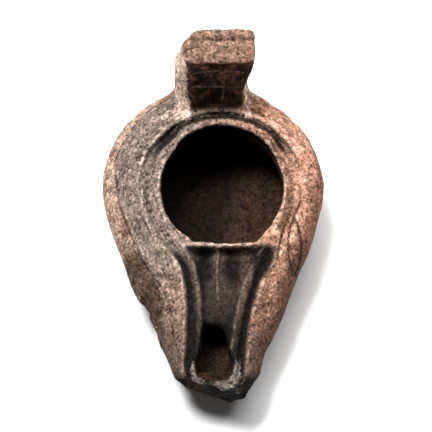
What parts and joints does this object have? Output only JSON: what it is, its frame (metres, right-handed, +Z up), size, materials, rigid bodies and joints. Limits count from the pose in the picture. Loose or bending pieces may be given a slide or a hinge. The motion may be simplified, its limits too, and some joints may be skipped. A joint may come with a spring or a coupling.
{
  "type": "roman oil lamp",
  "caption": "Moulded fired-clay oil lamp with a round bowl, wide filling hole, channelled nozzle with a wick hole and an upright tongue handle",
  "frame": {"origin": "centre of the flat oval base, on the surface the lamp stands on", "axes": "+Z up, +Y from the nozzle towards the handle, +X to the right seen from above with the nozzle pointing down"},
  "size_m": [0.064, 0.1001, 0.0481],
  "materials": {
    "fired_clay": "unglazed orange-pink clay, gritty and pitted, greyed by ash on one side and blackened by soot round the nozzle and inside the well"
  },
  "bodies": {
    "root": {"lamp": "fired_clay"}
  },
  "joints": []
}
